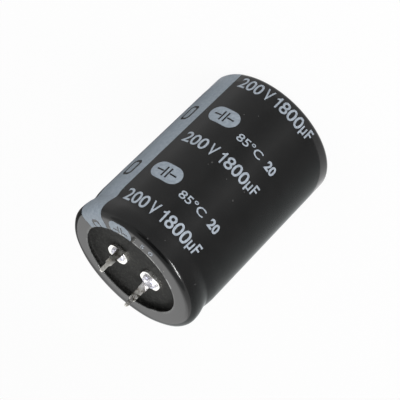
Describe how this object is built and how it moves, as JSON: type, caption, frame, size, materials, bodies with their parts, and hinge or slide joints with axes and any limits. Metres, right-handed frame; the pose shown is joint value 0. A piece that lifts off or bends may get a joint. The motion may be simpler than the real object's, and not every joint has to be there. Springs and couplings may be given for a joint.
{
  "type": "electrolytic capacitor",
  "caption": "Aluminium electrolytic capacitor in a black shrink sleeve, with snap-in pins at one end and a scored vent in the other.",
  "frame": {"origin": "centre of the closed end's resting plane, at the sleeve's fold", "axes": "+Z along the axis towards the pins; +X towards the negative pin, on the side of the printed stripe"},
  "size_m": [0.0354, 0.0354, 0.0567],
  "materials": {
    "sleeve": "glossy shrink film",
    "ink": "printed ink",
    "can": "satin drawn",
    "insulator": "pressed board",
    "winding": "etched foil edges with paper between",
    "tape": "film tape",
    "phenolic": "laminate",
    "seal_rubber": "matte",
    "tinned_pin": "bright tin plate",
    "rivet": "upset",
    "washer": "stamped",
    "lead_tab": "soft rolled"
  },
  "bodies": {
    "root": {"sleeve": "sleeve", "sleeve_print": "ink", "can": "can", "base_insulator": "insulator", "winding": "winding", "winding_tape": "tape", "phenolic_disc": "phenolic", "rubber_facing": "seal_rubber", "terminal_negative": "tinned_pin", "terminal_positive": "tinned_pin", "rivet_negative": "rivet", "rivet_positive": "rivet", "washer_negative": "washer", "washer_positive": "washer", "tab_negative": "lead_tab", "tab_positive": "lead_tab"}
  },
  "joints": []
}
